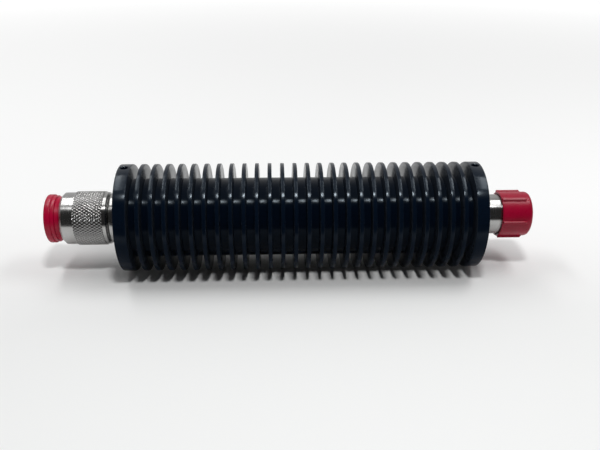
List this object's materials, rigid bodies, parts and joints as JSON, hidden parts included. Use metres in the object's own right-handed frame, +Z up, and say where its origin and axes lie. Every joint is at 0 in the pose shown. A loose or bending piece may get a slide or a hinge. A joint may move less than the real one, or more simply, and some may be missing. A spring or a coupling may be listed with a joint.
{
  "type": "rf attenuator",
  "caption": "In-line coaxial power attenuator with a round finned black heat sink, a plug with a knurled coupling nut, a threaded jack, and red dust covers on both.",
  "frame": {"origin": "on the floor that the fins lie on, below the middle of the overall length", "axes": "+X along the axis from the plug to the jack, +Z up, -Y to the front"},
  "size_m": [0.1898, 0.042, 0.042],
  "materials": {
    "anodised": "black anodised, satin",
    "screw_steel": "dark oxide",
    "stainless": "turned and passivated",
    "plated_contact": "white bronze plate",
    "gold_contact": "gold plate",
    "insulator": "white fluoropolymer",
    "gasket": "silicone",
    "red_plastic": "soft moulded plastic",
    "bare_aluminium": "machined",
    "card": "white alumina with a dark resistor film"
  },
  "bodies": {
    "attenuator": {"heat_sink": "anodised", "plug_end_set_screws": "screw_steel", "jack_end_set_screws": "screw_steel", "plug_body": "stainless", "plug_outer_contact": "plated_contact", "plug_insulator": "insulator", "plug_centre_pin": "gold_contact", "plug_gasket": "gasket", "nut_retaining_ring": "screw_steel", "jack_body": "stainless", "jack_insulator": "insulator", "jack_centre_socket": "gold_contact", "lower_carrier": "bare_aluminium", "upper_carrier": "bare_aluminium", "attenuator_card": "card", "plug_contact_tab": "gold_contact", "jack_contact_tab": "gold_contact"},
    "nut": {"coupling_nut": "stainless"},
    "plug_cover": {"dust_plug": "red_plastic"},
    "jack_cover": {"dust_cap": "red_plastic"}
  },
  "joints": [
    {"name": "nut_spin", "type": "hinge", "parent": "attenuator", "child": "nut", "pos_m": [-0.07999, 0, 0.021], "axis": [1, 0, 0], "continuous": true},
    {"name": "dust_plug_pull", "type": "slide", "parent": "nut", "child": "plug_cover", "axis": [-1, 0, 0], "range_m": [0, 0.025]},
    {"name": "dust_cap_pull", "type": "slide", "parent": "attenuator", "child": "jack_cover", "axis": [1, 0, 0], "range_m": [0, 0.025]}
  ]
}
